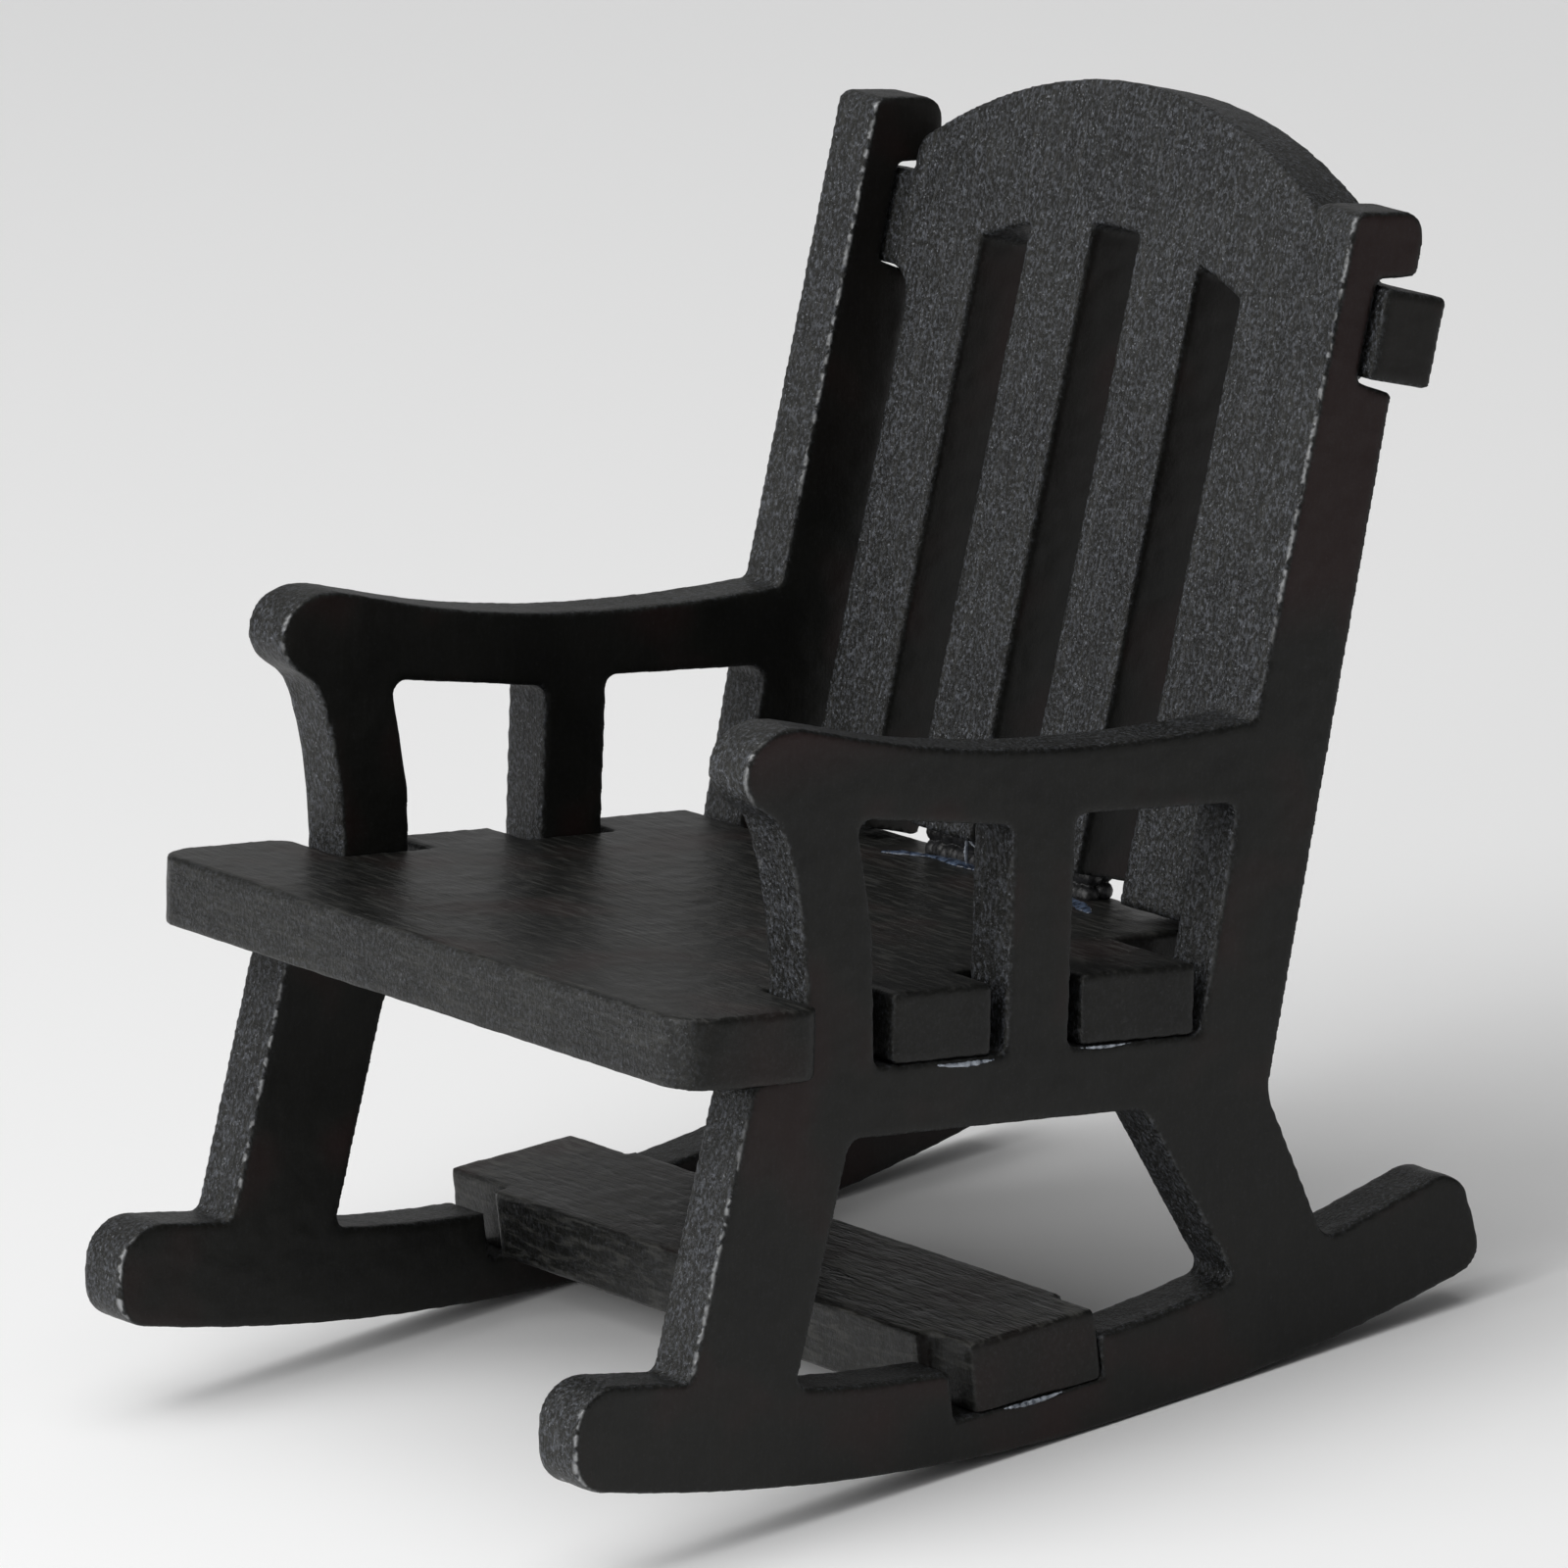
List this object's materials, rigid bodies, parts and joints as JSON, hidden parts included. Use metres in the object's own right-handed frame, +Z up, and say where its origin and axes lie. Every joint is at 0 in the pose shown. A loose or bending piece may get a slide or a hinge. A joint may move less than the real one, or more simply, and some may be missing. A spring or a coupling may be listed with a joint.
{
  "type": "miniature rocking chair",
  "caption": "Dolls house rocking chair of flat black-painted wooden boards slotted together, with scrolled arms and an arched, slatted back.",
  "frame": {"origin": "on the floor under the middle of the chair's bounding box, chair at rest on its rockers", "axes": "+Z up, -Y the way the sitter faces, +X towards the sitter's left"},
  "size_m": [0.07, 0.0846, 0.0819],
  "materials": {
    "painted_wood": "thin satin black paint over fine-grained wood, speckled on the cut edges"
  },
  "bodies": {
    "root": {"side_frame_left": "painted_wood", "side_frame_right": "painted_wood", "seat_board": "painted_wood", "back_panel": "painted_wood", "foot_rail": "painted_wood"}
  },
  "joints": []
}
